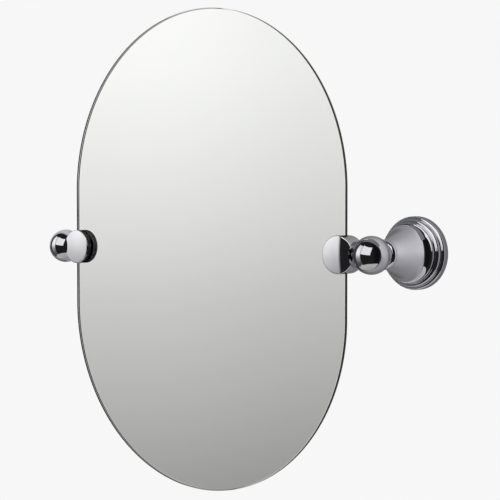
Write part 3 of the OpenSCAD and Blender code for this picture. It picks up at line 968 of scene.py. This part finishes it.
def with_table(nodes, light, heading, height):
    """The room with a pale table top low down, its far edge lowest in front of the wall."""
    edge = nodes.math("ADD", nodes.ramp(heading, -60, -30, -39, -50), nodes.ramp(heading, 40, 80, 0, 5))
    below = nodes.math("SUBTRACT", edge, height)
    table = nodes.mix(nodes.ramp(height, -80, -58), TABLE_BELOW, TABLE)
    return nodes.mix(over(nodes, below, 0, 1.5, True), light, table)


def with_board(nodes, light, heading, height, tone):
    """The room with the board on the left and a darker screen beside it."""
    top = nodes.ramp(heading, -62, -40, 43, 48)
    under_top = over(nodes, nodes.math("SUBTRACT", top, height), 0, 1.5)
    level = nodes.product(over(nodes, height, BOARD_FOOT, 1), under_top)
    screen = nodes.product(band(nodes, heading, SCREEN_LEFT, BOARD_SIDES[0], 2.0), level)
    board = nodes.product(band(nodes, heading, *BOARD_SIDES, 1.0), level)
    return nodes.mix(board, nodes.mix(screen, light, SCREEN), tone)


def with_softbox(nodes, light, heading, height):
    """The room with a wide softbox in front, its right side leaning out and its foot sloping."""
    right = nodes.ramp(height, 12, 46, 28.5, 41)
    from_right = nodes.math("SUBTRACT", right, heading)
    sides = nodes.product(over(nodes, heading, SOFTBOX_LEFT, 0.5), over(nodes, from_right, 0, 0.8))
    foot = nodes.ramp(heading, SOFTBOX_LEFT, 15, 7, 3)
    level = band(nodes, nodes.math("SUBTRACT", height, foot), 0, SOFTBOX_HEIGHT, 0.8)
    return nodes.mix(nodes.product(sides, level), light, SOFTBOX)


def make_world(stage):
    """A studio all round for the reflections, and one plain tone behind the object."""
    world = bpy.data.worlds.new("studio")
    bpy.context.scene.world = world
    world.use_nodes = True
    nodes = Nodes(world.node_tree)
    background = world.node_tree.nodes["Background"]
    way = axes(nodes, "Generated")
    heading = nodes.math("DEGREES", nodes.math("ARCTAN2", way["X"], nodes.product(way["Y"], -1.0)))
    height = nodes.math("DEGREES", nodes.math("ARCSINE", way["Z"]))

    # dark in front of the wall's plane, lighter behind it and straight overhead
    above = nodes.math("MAXIMUM", nodes.math("SUBTRACT", way["Z"], 0.7), 0.0)
    lean = nodes.math("ADD", way["Y"], nodes.product(above, 0.35))
    dark = nodes.ramp(lean, -0.015, 0.015, 1.0, 0.0)
    light = nodes.mix(nodes.ramp(heading, 44, 60), SHADE, BLACK)
    light = nodes.mix(dark, CEILING, light)

    tone = board_tone(nodes, heading, height)
    light = with_table(nodes, light, heading, height)
    light = with_board(nodes, light, heading, height, tone)
    light = with_softbox(nodes, light, heading, height)

    # painted reflection: through the glass, off the silvering and back makes 4 transmissions and 1 reflection:
    # such a ray sees the board's tones where the room is dark, and one that met chrome besides (4 x 2) sees
    # painted black
    path = nodes.add("LightPath").outputs
    bounces = nodes.product(path["Glossy Depth"], path["Transmission Depth"])
    pane = nodes.scaled(tone, PANE_REFLECTION_SHARE)
    pane = nodes.add("VectorMath", {0: pane, 1: PANE_REFLECTION_LEAST}, operation="MAXIMUM").outputs[0]
    for least, seen in ((3.0, pane), (6.0, BLACK)):
        way_back = nodes.product(nodes.math("GREATER_THAN", bounces, least), dark)
        light = nodes.mix(way_back, light, seen)
    nodes.put(background.inputs["Color"], nodes.mix(path["Is Camera Ray"], light, tuple(stage.backdrop)))


def glow(obj, tint, tone_of):
    """Make an object glow, seen by reflections only; tone_of(nodes) gives the glow's strength."""
    mat = bpy.data.materials.new(obj.name)
    mat.use_nodes = True
    nodes = Nodes(mat.node_tree)
    mat.node_tree.nodes.remove(mat.node_tree.nodes["Principled BSDF"])
    light = nodes.add("Emission", {"Color": tint, "Strength": tone_of(nodes)})
    nodes.put(mat.node_tree.nodes["Material Output"].inputs["Surface"], light.outputs[0])
    dress(obj, mat)
    obj.visible_camera = False
    obj.visible_diffuse = False
    obj.visible_shadow = False


def painted_wall_light(nodes):
    """The wall's painted light: painted shadow behind the pane, painted shade low on the left and round the
    flanges.
    """
    way = axes(nodes, "Object")
    across = nodes.math("DIVIDE", nodes.math("SUBTRACT", way["X"], 0.02), 0.24)
    along = nodes.math("DIVIDE", way["Z"], 0.32)
    away = nodes.distance(across, along)
    left = nodes.ramp(way["X"], -0.31, -0.27, 1.0, 0.0)
    painted_shade_low_left = nodes.product(left, band(nodes, way["Z"], -0.25, -0.02, 0.02))
    beside = nodes.math("SUBTRACT", nodes.math("ABSOLUTE", way["X"]), BRACKET_X)
    near = nodes.distance(beside, way["Z"])
    # each line paints light or shade: the ends of a range, then the share of light at both of them
    return nodes.product(
        # painted shadow of the pane on the wall
        nodes.ramp(away, 0.35, 1.5, 0.34, 1.0, smooth_ends=True),
        # painted light, paler towards the top
        nodes.ramp(way["Z"], -0.5, 0.3, 0.86, 1.04),
        # painted shade under the brackets
        nodes.ramp(way["Z"], -0.1, 0.03, 0.66, 1.03),
        # painted light up to 0.8 m on the right, dark past 1.1 m
        nodes.ramp(way["X"], 0.8, 1.1, 1.3, 0.03),
        # painted shade low on the left
        nodes.ramp(painted_shade_low_left, 0.0, 1.0, 1.0, 0.35),
        # painted light, lighter towards the left
        nodes.ramp(way["X"], -1.1, -0.4, 0.7, 1.25),
        # painted shadow round each flange
        nodes.ramp(near, RIM_RADIUS, 2.1 * RIM_RADIUS, 0.42, 1.0, smooth_ends=True))


def make_wall():
    """The wall as the chrome sees it: a plane that glows with painted light and painted shade."""
    pick()
    bpy.ops.mesh.primitive_plane_add(size=40, location=(0, 0.5 * MM, 0), rotation=(math.pi / 2, 0, 0))
    wall = placed("wall_glow")
    glow(wall, WALL, painted_wall_light)


def make_card():
    """A grey card above the right bracket that glows with painted light, seen in the chrome as a painted
    reflection.
    """
    pick()
    bpy.ops.mesh.primitive_plane_add(size=1, location=CARD_PLACE)
    bpy.ops.transform.resize(value=(*CARD_SIZE, 1))
    card = placed("glowing_card")
    glow(card, (1.0, 1.0, 1.0), lambda nodes: nodes.ramp(nodes.noise(4, 2), 0.3, 0.7, 0.19, 0.23))


def make_floor(stage):
    """A plain pale floor that fades into the backdrop."""
    pick()
    bpy.ops.mesh.primitive_circle_add(vertices=128, radius=stage.floor_radius, fill_type="NGON",
                                      location=(0, 0, stage.floor_z))
    floor = placed("floor")
    mat, nodes, inputs = material("pale_floor", Roughness=0.9)
    nodes.put(inputs["Base Color"], nodes.mix(nodes.noise(3, 3), *tones(stage.floor, 0.98)))
    way = axes(nodes, "Object")
    reach = stage.floor_radius
    fade = nodes.ramp(nodes.distance(way["X"], way["Y"]), 0.3 * reach, reach, 1.0, 0.0, smooth_ends=True)
    nodes.put(inputs["Alpha"], fade)
    dress(floor, mat)
    floor.visible_glossy = False
    floor.visible_transmission = False


def add_lamp(name, place, size, power):
    """A soft square lamp that points at the object and stays out of its reflections."""
    pick()
    bpy.ops.object.light_add(type="AREA", location=place)
    lamp = bpy.context.object
    lamp.name = lamp.data.name = name
    lamp.data.size = size
    lamp.data.energy = power
    lamp.rotation_euler = (-Vector(place)).to_track_quat("-Z", "Y").to_euler()
    lamp.visible_glossy = False
    lamp.visible_transmission = False


class MIRROR_OT_stage(bpy.types.Operator):
    """Camera, studio light and floor"""
    bl_idname = "wall_mirror.stage"
    bl_label = "Stage"

    def execute(self, context):
        stage = context.scene.wall_mirror.stage
        pick()
        bpy.ops.object.camera_add(location=stage.camera, rotation=(stage.pitch, 0, stage.turn))
        camera = context.object
        camera.name = camera.data.name = "photo_view"
        camera.data.sensor_width = 36
        camera.data.lens = stage.lens
        camera.data.clip_start = 0.01
        context.scene.camera = camera
        make_world(stage)
        make_wall()
        make_card()
        make_floor(stage)
        add_lamp("key", (-1.6, -2.0, 2.4), 2.0, 60)
        add_lamp("fill", (2.4, -1.0, 1.6), 2.0, 30)
        add_lamp("rear", (0.4, 2.6, 2.2), 2.5, 45)
        context.scene.view_settings.view_transform = "Standard"
        return {"FINISHED"}


# --------------------------------------------------------------------- add-on

class MIRROR_PT_panel(bpy.types.Panel):
    """Lists what the add-on makes"""
    bl_idname = "MIRROR_PT_panel"
    bl_label = "Pivot Wall Mirror"
    bl_space_type = "VIEW_3D"
    bl_region_type = "UI"
    bl_category = "Mirror"

    def draw(self, context):
        layout = self.layout
        for piece in PIECES:
            layout.operator(piece.bl_idname)


GROUPS = (PaneSettings, FlangeSettings, ClampSettings, FinishSettings, StageSettings, MirrorSettings)
PIECES = (MIRROR_OT_hardware, MIRROR_OT_pane, MIRROR_OT_silvering, MIRROR_OT_flanges, MIRROR_OT_necks,
          MIRROR_OT_balls, MIRROR_OT_clamp_bodies, MIRROR_OT_clamp_caps, MIRROR_OT_stage)


def register():
    """Register the settings, the operators and the panel."""
    for each in (*GROUPS, *PIECES, MIRROR_PT_panel):
        bpy.utils.register_class(each)
    bpy.types.Scene.wall_mirror = PointerProperty(type=MirrorSettings)


def unregister():
    """Take them away again."""
    del bpy.types.Scene.wall_mirror
    for each in reversed((*GROUPS, *PIECES, MIRROR_PT_panel)):
        bpy.utils.unregister_class(each)


def main():
    """Build the whole scene."""
    register()
    for piece in PIECES:
        group, name = piece.bl_idname.split(".")
        getattr(getattr(bpy.ops, group), name)()
    pick()


if __name__ == "__main__":
    main()
